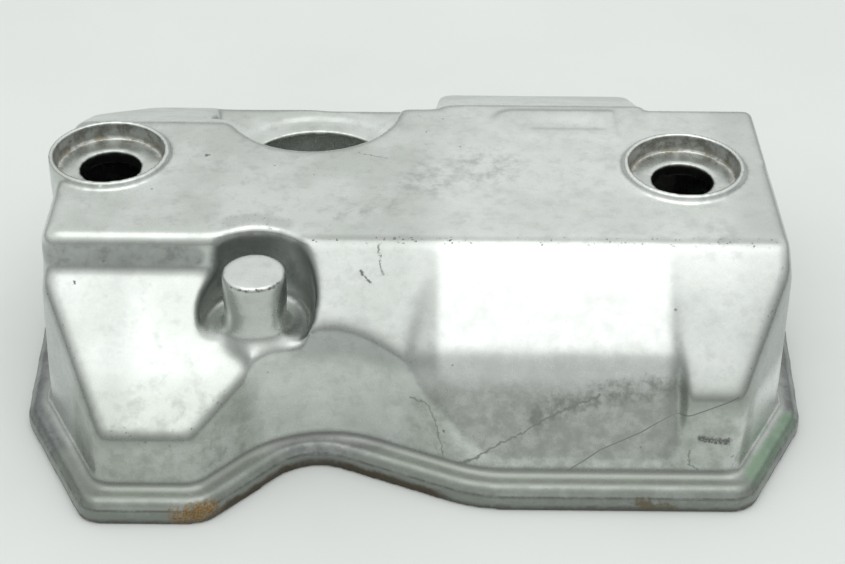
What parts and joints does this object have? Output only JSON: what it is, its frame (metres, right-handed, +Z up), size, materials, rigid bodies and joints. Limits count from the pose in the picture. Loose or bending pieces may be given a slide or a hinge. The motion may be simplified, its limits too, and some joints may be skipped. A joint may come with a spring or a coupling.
{
  "type": "engine valve cover",
  "caption": "Cast aluminium valve cover that closes the top of a small engine's cylinder head, with recessed bolt seats, a plug well and a clearance scoop with a round stub.",
  "frame": {"origin": "centre of the gasket face, under the middle of the cover's outline", "axes": "+X along the cover's length, towards the end without the lobe; +Y towards the plug well side; +Z up, away from the cylinder head"},
  "size_m": [0.1618, 0.1178, 0.046],
  "materials": {
    "valve_cover": "satin"
  },
  "bodies": {
    "root": {"valve_cover": "valve_cover"}
  },
  "joints": []
}
